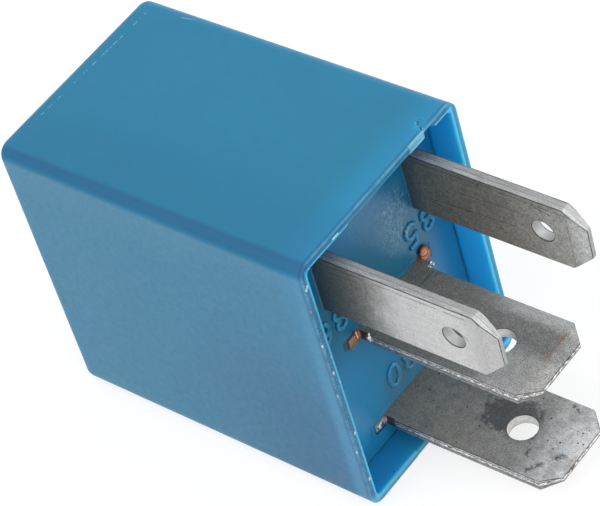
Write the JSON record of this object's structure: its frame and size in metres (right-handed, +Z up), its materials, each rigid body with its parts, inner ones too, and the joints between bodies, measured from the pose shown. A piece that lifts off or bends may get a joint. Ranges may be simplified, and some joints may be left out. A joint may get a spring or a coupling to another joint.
{
  "type": "automotive relay",
  "caption": "Compact plug-in starter relay: blue drafted cap over a recessed base plate with flat metal blade terminals, lying on its side.",
  "frame": {"origin": "bottom centre of its box, on the surface it lies on", "axes": "+X from the cap's closed end towards the blade tips, +Z up from the long side it lies on, +Y towards the blade of terminal 85"},
  "size_m": [0.0352, 0.0156, 0.0215],
  "materials": {
    "cap_blue": "satin moulded blue",
    "base_blue": "smooth moulded blue",
    "blade_30": "tinned copper alloy, stained",
    "blade_87": "tinned copper alloy, stained",
    "blade_85": "tinned copper alloy",
    "blade_86": "tinned copper alloy",
    "bobbin_plastic": "moulded",
    "enamelled_wire": "enamelled copper",
    "coil_tape": "polyester tape",
    "magnet_steel": "zinc plated soft iron",
    "spring_metal": "spring copper alloy",
    "stop_metal": "rolled",
    "rivet_metal": "formed",
    "contact_silver": "silver alloy",
    "solder": "tin"
  },
  "bodies": {
    "relay": {"cap": "cap_blue", "base_plate": "base_blue", "terminal_30": "blade_30", "terminal_87": "blade_87", "terminal_85": "blade_85", "terminal_86": "blade_86", "contact_bracket": "stop_metal", "bobbin": "bobbin_plastic", "coil_winding": "enamelled_wire", "coil_tape": "coil_tape", "core": "magnet_steel", "yoke": "magnet_steel", "fixed_contact": "contact_silver", "back_stop": "stop_metal", "yoke_rivets": "rivet_metal", "coil_lead_85": "enamelled_wire", "coil_lead_86": "enamelled_wire", "solder_joint_85": "solder", "solder_joint_86": "solder"},
    "armature": {"armature": "magnet_steel", "contact_spring": "spring_metal", "moving_contact": "contact_silver", "armature_rivets": "rivet_metal"}
  },
  "joints": [
    {"name": "armature_pivot", "type": "hinge", "parent": "relay", "child": "armature", "pos_m": [-0.01325, 0, 0.00317], "axis": [0, 1, 0], "range_deg": [0, 2.45], "stiffness_Nm_per_rad": 0.02, "springref_deg": -11.46, "deforming": ["contact_spring"]}
  ]
}
